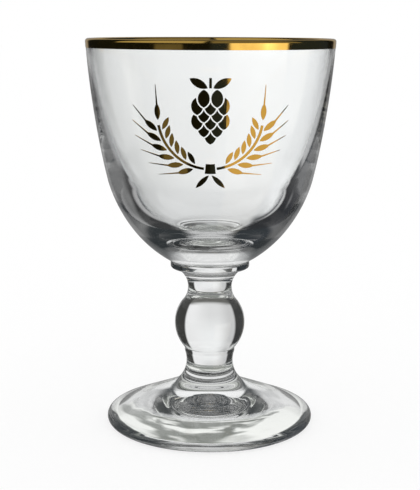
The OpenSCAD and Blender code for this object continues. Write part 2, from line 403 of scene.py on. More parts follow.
@dataclass(frozen=True)
class WhiteCard(Finish):
    """White card, lit from in front, which only light that crossed one wall of the glass sees."""

    colour: str = "#eff0ef"

    def shader(self, tree: bpy.types.NodeTree) -> bpy.types.Node:
        """Adds the lit card.

        Args:
            tree: The material's tree.

        Returns:
            The shader's node.
        """
        path = add_node(tree, "ShaderNodeLightPath")
        crossed = add_node(tree, "ShaderNodeMath", {"operation": "GREATER_THAN"}, (
            path.outputs["Transmission Depth"], BOTH_WALLS))
        mirrored = add_node(tree, "ShaderNodeMath", {"operation": "GREATER_THAN"}, (
            path.outputs["Glossy Depth"], ONE_MIRRORING))
        further = add_node(tree, "ShaderNodeMath", {"operation": "MAXIMUM"}, (crossed, mirrored))
        paper = add_node(tree, "ShaderNodeEmission", feeds={"Color": linear(self.colour)})
        clear = add_node(tree, "ShaderNodeBsdfTransparent")
        return add_node(tree, "ShaderNodeMixShader", feeds=(further, paper, clear))


# Blown soda-lime glass: clear, mirror smooth, with the long faint waves that the blowing leaves
CLEAR_GLASS = SodaLimeGlass("blown_soda_lime_glass")
# Pressed soda-lime glass: as clear, with the mould's waves, shorter and stronger in the flat foot
STEM_GLASS = SodaLimeGlass("pressed_stem_glass")
FOOT_GLASS = SodaLimeGlass("pressed_foot_glass", wave_length=7 * MM, wave_height=0.02 * MM)
# The inside of a hot weld, where two gathers of glass are one and nothing shows
WELD = FusedGlass("fused_weld_inside")
# Bright gold, brushed on by hand or screen-printed, and fired: it mirrors light gold and the dark room black
LIP_GOLD = BrightGold("burnished_lip_gold")
PRINT_GOLD = BrightGold("printed_fired_gold")
# The table's matt white paint with its painted shade and painted caustic light under the foot, and the white
# card that the bowl's mouth shows
TABLE_PAINT = TablePaint("white_table_paint_and_painted_shade")
WHITE_CARD = WhiteCard("white_card")


# Lines that the glass is turned from, as distance from the axis and height

def bezier(p: Point, c: Point, d: Point, q: Point, steps: int) -> list[Point]:
    """Draws a cubic curve.

    Args:
        p: Its start.
        c: The point that its start heads for.
        d: The point that its end comes from.
        q: Its end.
        steps: The number of stretches.

    Returns:
        The points from p to q.
    """
    t = np.linspace(0, 1, steps + 1)[:, None]
    curve = (1 - t) ** 3 * np.array(p) + 3 * (1 - t) ** 2 * t * np.array(c)
    curve = curve + 3 * (1 - t) * t * t * np.array(d) + t ** 3 * np.array(q)
    return [tuple(point) for point in curve]


def arc(centre: Point, radius: float, start: float, end: float, steps: int) -> list[Point]:
    """Returns points along an arc between two angles in degrees, ends included."""
    angles = np.radians(np.linspace(start, end, steps + 1))
    return [(centre[0] + radius * math.cos(a), centre[1] + radius * math.sin(a)) for a in angles]


def wall(p: Point, lean_p: float, q: Point, lean_q: float, reach: Point, steps: int) -> list[Point]:
    """Returns a smooth wall line from p down to q.

    Args:
        p: The upper end.
        lean_p: The lean from the vertical there, in degrees.
        q: The lower end.
        lean_q: The lean there.
        reach: How far each end holds its direction, as shares of the straight length.
        steps: The number of stretches.

    Returns:
        The points from p to q.
    """
    span = math.dist(p, q)
    a, b = math.radians(lean_p), math.radians(lean_q)
    c = (p[0] - reach[0] * span * math.sin(a), p[1] - reach[0] * span * math.cos(a))
    d = (q[0] + reach[1] * span * math.sin(b), q[1] + reach[1] * span * math.cos(b))
    return bezier(p, c, d, q, steps)


def tangent_line(low_centre: Point, low: float, slope: float, high_centre: Point, high: float,
                 steps: int) -> list[Point]:
    """Draws the straight stretch between two arcs that it touches.

    Args:
        low_centre: The middle of the arc where the stretch starts.
        low: That arc's radius.
        slope: The direction from that middle to the stretch, in degrees.
        high_centre: The middle of the arc where the stretch ends, on its other side.
        high: That arc's radius.
        steps: The number of parts.

    Returns:
        The points between the two ends.
    """
    a = math.radians(slope)
    p = np.array(low_centre) + low * np.array([math.cos(a), math.sin(a)])
    q = np.array(high_centre) - high * np.array([math.cos(a), math.sin(a)])
    return [tuple(p + (q - p) * i / steps) for i in range(1, steps)]


def cut_above(line: list[Point], height: float) -> list[Point]:
    """Cuts a rising line at a height.

    Args:
        line: The line's points.
        height: The height.

    Returns:
        The part above it, with a new first point on the height.
    """
    for i in range(1, len(line)):
        if line[i][1] > height:
            (r0, z0), (r1, z1) = line[i - 1], line[i]
            share = (height - z0) / (z1 - z0)
            return [(r0 + (r1 - r0) * share, height)] + line[i:]
    return []


def fillet_reach(ball: float, fillet: float, offset: float) -> float:
    """Returns the height from an arc's middle to the upright end of the fillet that meets it."""
    return math.sqrt((ball + fillet) ** 2 - (offset + fillet) ** 2)


@dataclass
class Outline:
    """The line that a piece is turned from, with what each stretch of it is."""

    points: list[Point] = field(default_factory=list)
    weld: list[float] = field(default_factory=list)
    wave: list[float] = field(default_factory=list)

    def run(self, points: Iterable[Point], weld: bool = False, wave: float = 0.0) -> "Outline":
        """Adds a stretch.

        Args:
            points: The stretch's points.
            weld: Whether the stretch lies inside a weld.
            wave: How much of the piece's waviness it has, as a share.

        Returns:
            The outline itself.
        """
        for point in points:
            if self.points and math.dist(point, self.points[-1]) < SAME_POINT:
                continue
            self.points.append(point)
            self.weld.append(float(weld))
            self.wave.append(wave)
        return self

    def mesh_object(self, name: str) -> bpy.types.Object:
        """Makes the outline an object of edges, with what its stretches are as attributes.

        Args:
            name: The object's name.

        Returns:
            The object.
        """
        mesh = bpy.data.meshes.new(name)
        edges = [(i, i + 1) for i in range(len(self.points) - 1)]
        mesh.from_pydata([(r, 0.0, z) for r, z in self.points], edges, [])
        for attribute, values in (("weld", self.weld), ("wave", self.wave)):
            mesh.attributes.new(attribute, "FLOAT", "POINT").data.foreach_set("value", values)
        return place_object(name, mesh)


# Geometry trees

def real_surface(tree: bpy.types.NodeTree, geometry: bpy.types.Node,
                 surface: bpy.types.NodeSocket) -> bpy.types.Node:
    """Makes a tree's geometry real and gives it its material.

    Args:
        tree: The geometry tree.
        geometry: The node with the geometry.
        surface: The material.

    Returns:
        The last node.
    """
    real = add_node(tree, "GeometryNodeRealizeInstances", feeds={"Geometry": geometry})
    return add_node(tree, "GeometryNodeSetMaterial", feeds={"Geometry": real, "Material": surface})


def turned_shell(tree: bpy.types.NodeTree, given: bpy.types.Node) -> bpy.types.Node:
    """Lays a grid with a row for each point of the outline round the axis.

    Args:
        tree: The tree that turns an outline.
        given: Its input node.

    Returns:
        The node with the closed shell, which keeps the outline's attributes.
    """
    outline = given.outputs["Outline"]
    rows = add_node(tree, "GeometryNodeAttributeDomainSize", feeds=(outline,)).outputs["Point Count"]
    columns = add_node(tree, "ShaderNodeMath", {"operation": "ADD"}, (given.outputs["Facets"], 1.0))
    shell = add_node(tree, "GeometryNodeMeshGrid", feeds={
        "Size X": 1.0, "Size Y": 1.0, "Vertices X": rows, "Vertices Y": columns})
    place = add_node(tree, "GeometryNodeInputPosition")
    flat = add_node(tree, "ShaderNodeSeparateXYZ", feeds=(place,))
    down = add_node(tree, "ShaderNodeMath", {"operation": "ADD"}, (flat.outputs["X"], 0.5))
    last = add_node(tree, "ShaderNodeMath", {"operation": "SUBTRACT"}, (rows, 1.0))
    row_place = add_node(tree, "ShaderNodeMath", {"operation": "MULTIPLY"}, (down, last))
    row = add_node(tree, "ShaderNodeMath", {"operation": "ROUND"}, (row_place,))
    share = add_node(tree, "ShaderNodeMath", {"operation": "ADD"}, (flat.outputs["Y"], 0.5))
    past = add_node(tree, "ShaderNodeMath", {"operation": "ADD"}, (share, TURN_HAIR))
    turn = add_node(tree, "ShaderNodeMath", {"operation": "FRACT"}, (past,))
    angle = add_node(tree, "ShaderNodeMath", {"operation": "MULTIPLY"}, (turn, -math.tau))
    for name in ("weld", "wave"):
        drawn_mark = add_node(tree, "GeometryNodeInputNamedAttribute", {"data_type": "FLOAT"}, {"Name": name})
        mark = add_node(tree, "GeometryNodeSampleIndex", {"data_type": "FLOAT"}, {
            "Geometry": outline, "Value": drawn_mark, "Index": row})
        shell = add_node(tree, "GeometryNodeStoreNamedAttribute", {"data_type": "FLOAT", "domain": "POINT"}, {
            "Geometry": shell, "Name": name, "Value": mark})
    point = add_node(tree, "GeometryNodeSampleIndex", {"data_type": "FLOAT_VECTOR"}, {
        "Geometry": outline, "Value": place, "Index": row})
    drawn = add_node(tree, "ShaderNodeSeparateXYZ", feeds=(point,))
    cosine = add_node(tree, "ShaderNodeMath", {"operation": "COSINE"}, (angle,))
    sine = add_node(tree, "ShaderNodeMath", {"operation": "SINE"}, (angle,))
    x = add_node(tree, "ShaderNodeMath", {"operation": "MULTIPLY"}, (drawn.outputs["X"], cosine))
    y = add_node(tree, "ShaderNodeMath", {"operation": "MULTIPLY"}, (drawn.outputs["X"], sine))
    turned = add_node(tree, "ShaderNodeCombineXYZ", feeds=(x, y, drawn.outputs["Z"]))
    placed = add_node(tree, "GeometryNodeSetPosition", feeds={"Geometry": shell, "Position": turned})
    return add_node(tree, "GeometryNodeMergeByDistance", feeds={"Geometry": placed, "Distance": SAME_CORNER})


def waved_shell(tree: bpy.types.NodeTree, given: bpy.types.Node, shell: bpy.types.Node) -> bpy.types.Node:
    """Pushes a shell in and out with the faint waves of its making.

    Args:
        tree: The tree that turns an outline.
        given: Its input node.
        shell: The node with the shell.

    Returns:
        The node with the waved shell.
    """
    scale = add_node(tree, "ShaderNodeMath", {"operation": "DIVIDE"}, (1.0, given.outputs["Wave Length"]))
    noise = add_node(tree, "ShaderNodeTexNoise", {"noise_dimensions": "4D"}, {
        "W": given.outputs["Wave Seed"], "Scale": scale, "Detail": WAVE_DETAIL})
    swell = add_node(tree, "ShaderNodeMath", {"operation": "SUBTRACT"}, (noise, 0.5))
    height = add_node(tree, "ShaderNodeMath", {"operation": "MULTIPLY"}, (
        swell, given.outputs["Wave Height"]))
    waviness = add_node(tree, "GeometryNodeInputNamedAttribute", {"data_type": "FLOAT"}, {"Name": "wave"})
    push = add_node(tree, "ShaderNodeMath", {"operation": "MULTIPLY"}, (height, waviness))
    normal = add_node(tree, "GeometryNodeInputNormal")
    offset = add_node(tree, "ShaderNodeVectorMath", {"operation": "SCALE"}, {"Vector": normal, "Scale": push})
    return add_node(tree, "GeometryNodeSetPosition", feeds={"Geometry": shell, "Offset": offset})


def turning_tree() -> bpy.types.NodeTree:
    """Builds the tree that turns an outline about the axis.

    Returns:
        A tree with inputs for the facets round the axis, the waviness and the two materials.
    """
    tree, given, result = new_tree("turn_outline", "GeometryNodeTree", {
        "Outline": "NodeSocketGeometry", "Facets": "NodeSocketInt", "Wave Height": "NodeSocketFloat",
        "Wave Length": "NodeSocketFloat", "Wave Seed": "NodeSocketFloat", "Crease Angle": "NodeSocketFloat",
        "Surface": "NodeSocketMaterial", "Weld": "NodeSocketMaterial"}, {"Geometry": "NodeSocketGeometry"})
    shell = waved_shell(tree, given, turned_shell(tree, given))
    smooth = add_node(tree, "GeometryNodeSetShadeSmooth", {"domain": "FACE"}, {"Geometry": shell})
    bend = add_node(tree, "GeometryNodeInputMeshEdgeAngle").outputs["Unsigned Angle"]
    sharp = add_node(tree, "ShaderNodeMath", {"operation": "GREATER_THAN"}, (
        bend, given.outputs["Crease Angle"]))
    creased = add_node(tree, "GeometryNodeSetShadeSmooth", {"domain": "EDGE"}, {
        "Geometry": smooth, "Shade Smooth": False, "Selection": sharp})
    surface = real_surface(tree, creased, given.outputs["Surface"])
    weld = add_node(tree, "GeometryNodeInputNamedAttribute", {"data_type": "FLOAT"}, {"Name": "weld"})
    welded = add_node(tree, "ShaderNodeMath", {"operation": "GREATER_THAN"}, (weld, INSIDE_WELD))
    dressed = add_node(tree, "GeometryNodeSetMaterial", feeds={
        "Geometry": surface, "Material": given.outputs["Weld"], "Selection": welded})
    tree.links.new(first_output(dressed), result.inputs["Geometry"])
    return tree


def row_tree() -> bpy.types.NodeTree:
    """Builds the tree that sets grains in a row round a ring.

    Returns:
        A tree that repeats a flat grain, with inputs for the ring and the row.
    """
    tree, given, result = new_tree("grain_row", "GeometryNodeTree", {
        "Grain": "NodeSocketGeometry", "Count": "NodeSocketInt", "Ring Radius": "NodeSocketFloat",
        "First Angle": "NodeSocketFloat", "Step Angle": "NodeSocketFloat", "Tilt": "NodeSocketFloat",
        "Grain Scale": "NodeSocketFloat", "Surface": "NodeSocketMaterial"}, {
            "Geometry": "NodeSocketGeometry"})
    points = add_node(tree, "GeometryNodeMeshLine", feeds={"Count": given.outputs["Count"]})
    number = add_node(tree, "GeometryNodeInputIndex")
    angle = add_node(tree, "ShaderNodeMath", {"operation": "MULTIPLY_ADD"}, (
        number, given.outputs["Step Angle"], given.outputs["First Angle"]))
    sine = add_node(tree, "ShaderNodeMath", {"operation": "SINE"}, (angle,))
    cosine = add_node(tree, "ShaderNodeMath", {"operation": "COSINE"}, (angle,))
    front = add_node(tree, "ShaderNodeMath", {"operation": "MULTIPLY"}, (cosine, -1.0))
    outwards = add_node(tree, "ShaderNodeCombineXYZ", feeds={"X": sine, "Y": front})
    place = add_node(tree, "ShaderNodeVectorMath", {"operation": "SCALE"}, {
        "Vector": outwards, "Scale": given.outputs["Ring Radius"]})
    ring = add_node(tree, "GeometryNodeSetPosition", feeds={"Geometry": points, "Position": place})
    along = add_node(tree, "ShaderNodeMath", {"operation": "SUBTRACT"}, (angle, math.pi / 2))
    lean = add_node(tree, "ShaderNodeMath", {"operation": "SUBTRACT"}, (along, given.outputs["Tilt"]))
    turn = add_node(tree, "ShaderNodeCombineXYZ", feeds={"Z": lean})
    size = add_node(tree, "ShaderNodeCombineXYZ", feeds=[given.outputs["Grain Scale"]] * 3)
    grains = add_node(tree, "GeometryNodeInstanceOnPoints", feeds={
        "Points": ring, "Instance": given.outputs["Grain"], "Rotation": turn, "Scale": size})
    dressed = real_surface(tree, grains, given.outputs["Surface"])
    tree.links.new(first_output(dressed), result.inputs["Geometry"])
    return tree


def print_tree() -> bpy.types.NodeTree:
    """Builds the tree that lays a flat drawing on the front of a wall as a thin film.

    Returns:
        A tree with inputs for the wall, the drawing's height on it and the film's two depths.
    """
    tree, given, result = new_tree("lay_on_wall", "GeometryNodeTree", {
        "Drawing": "NodeSocketGeometry", "Wall": "NodeSocketObject", "Rise": "NodeSocketFloat",
        "Start": "NodeSocketFloat", "Sunk": "NodeSocketFloat", "Proud": "NodeSocketFloat",
        "Surface": "NodeSocketMaterial"}, {"Geometry": "NodeSocketGeometry"})
    wall_mesh = add_node(tree, "GeometryNodeObjectInfo", {"transform_space": "ORIGINAL"}, {
        "Object": given.outputs["Wall"]}).outputs["Geometry"]
    flat = add_node(tree, "ShaderNodeSeparateXYZ", feeds=(add_node(tree, "GeometryNodeInputPosition"),))
    front = add_node(tree, "ShaderNodeMath", {"operation": "MULTIPLY"}, (given.outputs["Start"], -1.0))
    height = add_node(tree, "ShaderNodeMath", {"operation": "ADD"}, (
        flat.outputs["Y"], given.outputs["Rise"]))
    source = add_node(tree, "ShaderNodeCombineXYZ", feeds=(flat.outputs["X"], front, height))
    cast = add_node(tree, "GeometryNodeRaycast", feeds={
        "Target Geometry": wall_mesh, "Source Position": source, "Ray Direction": (0.0, 1.0, 0.0),
        "Ray Length": given.outputs["Start"]})
    normal = cast.outputs["Hit Normal"]
    down = add_node(tree, "ShaderNodeMath", {"operation": "MULTIPLY"}, (given.outputs["Sunk"], -1.0))
    sink = add_node(tree, "ShaderNodeVectorMath", {"operation": "SCALE"}, {"Vector": normal, "Scale": down})
    spot = add_node(tree, "ShaderNodeVectorMath", {"operation": "ADD"}, (cast.outputs["Hit Position"], sink))
    thickness = add_node(tree, "ShaderNodeMath", {"operation": "ADD"}, (
        given.outputs["Sunk"], given.outputs["Proud"]))
    rise = add_node(tree, "ShaderNodeVectorMath", {"operation": "SCALE"}, {
        "Vector": normal, "Scale": thickness})
    lifted = add_node(tree, "GeometryNodeCaptureAttribute", {"domain": "POINT"})
    lifted.capture_items.new("VECTOR", "Lift")
    tree.links.new(given.outputs["Drawing"], lifted.inputs["Geometry"])
    tree.links.new(first_output(rise), lifted.inputs["Lift"])
    under = add_node(tree, "GeometryNodeSetPosition", feeds={"Geometry": lifted, "Position": spot})
    film = add_node(tree, "GeometryNodeExtrudeMesh", {"mode": "FACES"}, {
        "Mesh": under, "Offset": lifted.outputs["Lift"], "Individual": False})
    back = add_node(tree, "GeometryNodeFlipFaces", feeds={"Mesh": under})
    shell = add_node(tree, "GeometryNodeJoinGeometry")
    tree.links.new(first_output(film), shell.inputs["Geometry"])
    tree.links.new(first_output(back), shell.inputs["Geometry"])
    closed = add_node(tree, "GeometryNodeMergeByDistance", feeds={"Geometry": shell, "Distance": SAME_CORNER})
    dressed = real_surface(tree, closed, given.outputs["Surface"])
    tree.links.new(first_output(dressed), result.inputs["Geometry"])
    return tree


def grown(source: bpy.types.Object, tree: bpy.types.NodeTree, name: str,
          inputs: dict[str, Feed]) -> bpy.types.Object:
    """Runs a geometry tree on an object and keeps the result as a plain mesh.

    Args:
        source: The object that the tree starts from, which is removed.
        tree: The geometry tree.
        name: The new object's name.
        inputs: The tree's inputs, by name.

    Returns:
        The new object, at the origin.
    """
    modifier = source.modifiers.new("tree", "NODES")
    modifier.node_group = tree
    for item in tree.interface.items_tree:
        if item.in_out == "INPUT" and item.name in inputs:
            modifier[item.identifier] = inputs[item.name]
    evaluated = source.evaluated_get(bpy.context.evaluated_depsgraph_get())
    mesh = bpy.data.meshes.new_from_object(evaluated)
    source.modifiers.remove(modifier)
    bpy.data.objects.remove(source)
    mesh.name = name
    return place_object(name, mesh)


def close_mesh(mesh: bpy.types.Mesh) -> None:
    """Turns a closed mesh's faces outwards and drops what only the making needed.

    Args:
        mesh: The mesh.
    """
    work = bmesh.new()
    work.from_mesh(mesh)
    bmesh.ops.recalc_face_normals(work, faces=work.faces)
    work.to_mesh(mesh)
    work.free()
    for name in ("weld", "wave"):
        if name in mesh.attributes:
            mesh.attributes.remove(mesh.attributes[name])


# Pieces of glass

@dataclass
class Turned:
    """A piece that is turned about the glass's axis, where its CAD node stands."""

    node: str
    piece: str
    slot: str
    finish: Finish
    facets: int = 256
    wave_height: float = 0.0
    wave_length: float = 16 * MM
    wave_seed: float = 3.0
    crease: float = 35.0

    @property
    def seat(self) -> float:
        """Height of the node's lowest point."""
        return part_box(self.node)[0].z

    @property
    def height(self) -> float:
        """Height of the node."""
        low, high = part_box(self.node)
        return high.z - low.z

    @property
    def radius(self) -> float:
        """Largest distance of the node from the axis."""
        low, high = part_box(self.node)
        return (high.x - low.x) / 2

    def outline(self) -> Outline:
        """Returns the line that the piece is turned from, with heights above its seat."""
        raise NotImplementedError

    def build(self, tree: bpy.types.NodeTree) -> bpy.types.Object:
        """Turns the outline, dresses it and puts it on the body.

        Args:
            tree: The tree that turns an outline.

        Returns:
            The finished piece.
        """
        outline = self.outline()
        seat = self.seat
        outline.points = [(r, z + seat) for r, z in outline.points]
        made = grown(outline.mesh_object(self.piece + "_outline"), tree, self.piece, {
            "Facets": self.facets, "Wave Height": self.wave_height, "Wave Length": self.wave_length,
            "Wave Seed": self.wave_seed, "Crease Angle": math.radians(self.crease),
            "Surface": self.finish.material(), "Weld": WELD.material()})
        close_mesh(made.data)
        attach(made, BODY)
        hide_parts(self.node)
        return made


@dataclass
class Foot(Turned):
    """The pressed foot, with the lower half of the lower neck and a dimpled hollow underneath."""

    node: str = "foot"
    piece: str = "pressed_foot"
    slot: str = "foot_glass"
    finish: Finish = FOOT_GLASS
    edge: float = 3.7 * MM
    neck_radius: float = 7.75 * MM
    neck_drop: float = 3.4 * MM
    weld_radius: float = 8.35 * MM
    flare: float = 9.6 * MM
    rest_width: float = 2.5 * MM
    hollow: float = 4.5 * MM
    hollow_power: float = 1.8
    dimple_radius: float = 11.0 * MM
    dimple: float = 5.7 * MM
    wave_height: float = 0.12 * MM
    wave_length: float = 13 * MM

    def underside(self, radius: float, rest: float) -> float:
        """Tells how high the underside is.

        Args:
            radius: The distance from the axis.
            rest: The inner radius of the flat ring that the glass rests on.

        Returns:
            The height above the table.
        """
        if radius < self.dimple_radius:
            return self.hollow + (self.dimple - self.hollow) * (
                1 + math.cos(math.pi * radius / self.dimple_radius)) / 2
        share = (radius - self.dimple_radius) / (rest - self.dimple_radius)
        return self.hollow * (1 - share ** self.hollow_power)

    def outline(self) -> Outline:
        """Draws the foot's line.

        Returns:
            The line from the dimple out, round the edge and up the neck.
        """
        edge = self.edge / 2
        rest = self.radius - edge - self.rest_width
        neck_rise = self.height - self.neck_drop
        flare_centre = (self.neck_radius + self.flare, neck_rise)
        edge_centre = (self.radius - edge, edge)
        apart = (flare_centre[0] - edge_centre[0], flare_centre[1] - edge_centre[1])
        turn = math.acos((self.flare + edge) / math.hypot(*apart))
        slope = math.degrees(math.atan2(apart[1], apart[0]) - turn)
        out = self.weld_radius - self.neck_radius
        neck = (out ** 2 + self.neck_drop ** 2) / (2 * out)
        neck_turn = math.degrees(math.asin(self.neck_drop / neck))
        under = [(r, self.underside(r, rest)) for r in np.linspace(0, rest, UNDERSIDE_STEPS + 1)]
        return (
            Outline()
            .run(under, wave=1.0)
            .run(arc(edge_centre, edge, -90, slope, ROUND_STEPS))
            .run(tangent_line(edge_centre, edge, slope, flare_centre, self.flare, SLOPE_STEPS), wave=1.0)
            .run(arc(flare_centre, self.flare, 180 + slope, 180, NECK_STEPS), wave=0.5)
            .run(arc((self.neck_radius + neck, neck_rise), neck, 180, 180 - neck_turn, ROUNDING_STEPS)[:-1])
            .run([(self.weld_radius, self.height), (0.0, self.height)], weld=True)
        )


@dataclass
class Stem(Turned):
    """The pressed stem with its ball knop between two necks."""

    node: str = "stem"
    piece: str = "knop_stem"
    slot: str = "stem_glass"
    finish: Finish = STEM_GLASS
    knop: float = 11.65 * MM
    knop_low: float = 12.9 * MM
    low_fillet: float = 1.0 * MM
    top_fillet: float = 6.9 * MM
    neck_radius: float = 7.25 * MM
    base_radius: float = 8.35 * MM
    base_height: float = 0.8 * MM
    top_flare: float = 68.0

    def outline(self) -> Outline:
        """Draws the stem's line.

        Returns:
            The line up the knop and out to the collar.
        """
        low_centre = self.knop - self.knop_low
        rise = self.base_height + fillet_reach(self.knop_low, self.low_fillet, self.base_radius - low_centre)
        neck_rise = rise + fillet_reach(self.knop, self.top_fillet, self.neck_radius)
        base_centre = (self.base_radius + self.low_fillet, self.base_height)
        neck_centre = (self.neck_radius + self.top_fillet, neck_rise)
        low = math.degrees(math.atan2(self.base_height - rise, base_centre[0] - low_centre))
        high = math.degrees(math.atan2(neck_rise - rise, neck_centre[0]))
        end = math.radians(self.top_flare)
        out, up = self.radius - self.neck_radius, self.height - neck_rise
        flare = [(self.neck_radius + out * (1 - math.cos(a)) / (1 - math.cos(end)),
                  neck_rise + up * math.sin(a) / math.sin(end)) for a in np.linspace(0, end, NECK_STEPS + 1)]
        return (
            Outline()
            .run([(0.0, 0.0), (self.base_radius, 0.0)], weld=True)
            .run(arc(base_centre, self.low_fillet, 180, 180 + low, ROUNDING_STEPS))
            .run(arc((low_centre, rise), self.knop_low, low, 0, NECK_STEPS), wave=1.0)
            .run(arc((0.0, rise), self.knop, 0, high, NECK_STEPS), wave=1.0)
            .run(arc(neck_centre, self.top_fillet, 180 + high, 180, ROUND_STEPS), wave=1.0)
            .run(flare[:-1], wave=0.5)
            .run([flare[-1], (0.0, self.height)], weld=True)
        )


@dataclass
class Collar(Turned):
    """The disc of glass between the stem and the bowl."""

    node: str = "collar"
    piece: str = "collar_disc"
    slot: str = "collar_glass"
    finish: Finish = STEM_GLASS
    rounding: float = 0.7 * MM
    stem_radius: float = 11.8 * MM

    def outline(self) -> Outline:
        """Draws the collar's line.

        Returns:
            The line round its edge, from the stem to the bowl.
        """
        middle = self.radius - self.rounding
        return (
            Outline()
            .run([(0.0, 0.0), (self.stem_radius, 0.0)], weld=True)
            .run(arc((middle, self.rounding), self.rounding, -90, 0, ROUNDING_STEPS))
            .run(arc((middle, self.height - self.rounding), self.rounding, 0, 90, ROUNDING_STEPS)[:-1])
            .run([(middle, self.height), (0.0, self.height)], weld=True)
        )


@dataclass
class Bowl(Turned):
    """The blown bowl, with a thin lip and a thick bottom."""

    node: str = "bowl"
    piece: str = "blown_bowl"
    slot: str = "bowl_glass"
    finish: Finish = CLEAR_GLASS
    lip_wall: float = 1.7 * MM
    lip_lean: float = 3.5
    cavity_lip_lean: float = 2.0
    belly: Point = (33.45 * MM, 27.1 * MM)
    belly_lean: float = 13.6
    belly_wall: float = 5.4 * MM
    cavity_lean: float = 25.5
    floor: float = 9.7 * MM
    base_lean: float = 61.0
    base_radius: float = 13.0 * MM
    weld_radius: float = 12.35 * MM
    side_reach: Point = (0.36, 0.24)
    base_reach: Point = (0.10, 0.50)
    cavity_side_reach: Point = (0.31, 0.255)
    cavity_base_reach: Point = (0.527, 0.425)

    @property
    def lip_centre(self) -> Point:
        """Middle of the lip's rounding, with its height above the seat."""
        return self.radius - self.lip_wall / 2, self.height - self.lip_wall / 2

    def lip_point(self, angle: float, grow: float = 0.0) -> Point:
        """Finds a point on the lip's rounding.

        Args:
            angle: Its direction from the rounding's middle, in degrees.
            grow: How far it lies outside the glass.

        Returns:
            The point.
        """
        a = math.radians(angle)
        reach = self.lip_wall / 2 + grow
        return self.lip_centre[0] + reach * math.cos(a), self.lip_centre[1] + reach * math.sin(a)

    def lip_round(self) -> list[Point]:
        """Returns the lip's rounding, from the outer wall over the top to the inner wall."""
        return arc(self.lip_centre, self.lip_wall / 2, -self.lip_lean, 180 + self.cavity_lip_lean,
                   ROUND_STEPS)

    def side(self, steps: int = SIDE_STEPS) -> list[Point]:
        """Draws the outer wall.

        Args:
            steps: The number of stretches.

        Returns:
            The wall from the lip down to the belly.
        """
        return wall(self.lip_point(-self.lip_lean), self.lip_lean, self.belly, self.belly_lean,
                    self.side_reach, steps)

    def cavity_side(self, steps: int = SIDE_STEPS) -> list[Point]:
        """Draws the inner wall.

        Args:
            steps: The number of stretches.

        Returns:
            The wall from the lip down to the belly.
        """
        belly = (self.belly[0] - self.belly_wall, self.belly[1])
        return wall(self.lip_point(180 + self.cavity_lip_lean), self.cavity_lip_lean, belly, self.cavity_lean,
                    self.cavity_side_reach, steps)

    def outline(self) -> Outline:
        """Draws the bowl's line.

        Returns:
            The line up the outside, over the lip and down inside.
        """
        base = wall(self.belly, self.belly_lean, (self.base_radius, 0.0), self.base_lean, self.base_reach,
                    SLOPE_STEPS)
        cavity = self.cavity_side()
        cavity_base = wall(cavity[-1], self.cavity_lean, (0.0, self.floor), 90, self.cavity_base_reach,
                           CAVITY_STEPS)
        return (
            Outline()
            .run([(0.0, 0.0), (self.weld_radius, 0.0)], weld=True)
            .run(reversed(base), wave=1.0)
            .run(reversed(self.side()), wave=1.0)
            .run(self.lip_round())
            .run(cavity, wave=1.0)
            .run(cavity_base[:-1], wave=1.0)
            .run([(0.0, self.floor)])
        )


@dataclass
class LipGold(Turned):
    """The band of bright gold outside, over and just inside the lip."""

    bowl: Bowl = field(default_factory=Bowl)
    node: str = "rim_gilding"
    piece: str = "gilded_lip"
    slot: str = "rim_gold"
    finish: Finish = LIP_GOLD
    outside: float = 2.8 * MM
    inside: float = 0.9 * MM
    proud: float = 0.08 * MM
    sunk: float = 0.02 * MM

    @property
    def seat(self) -> float:
        """Height of the bowl's seat, which the band is measured from."""
        return self.bowl.seat

    def line(self) -> list[Point]:
        """Follows the glass under the band.

        Returns:
            The points from the band's outer edge over the lip to its inner one.
        """
        bowl = self.bowl
        round_part = bowl.lip_round()
        low = round_part[0][1] - self.outside + bowl.lip_wall / 2
        low_in = round_part[-1][1] - self.inside + bowl.lip_wall / 2
        outer = cut_above(bowl.side(LIP_STEPS)[::-1], low)
        inner = cut_above(bowl.cavity_side(LIP_STEPS)[::-1], low_in)[::-1]
        return outer[:-1] + round_part + inner[1:]

    def outline(self) -> Outline:
        """Draws the film's section.

        Returns:
            The closed line round it.
        """
        line = np.array(self.line())
        along = np.gradient(line, axis=0)
        along /= np.linalg.norm(along, axis=1)[:, None]
        normal = np.stack([along[:, 1], -along[:, 0]], axis=1)
        outer = line + self.proud * normal
        inner = line - self.sunk * normal
        loop = [tuple(p) for p in np.vstack([outer, inner[::-1], outer[:1]])]
        return Outline().run(loop)


# Gold print

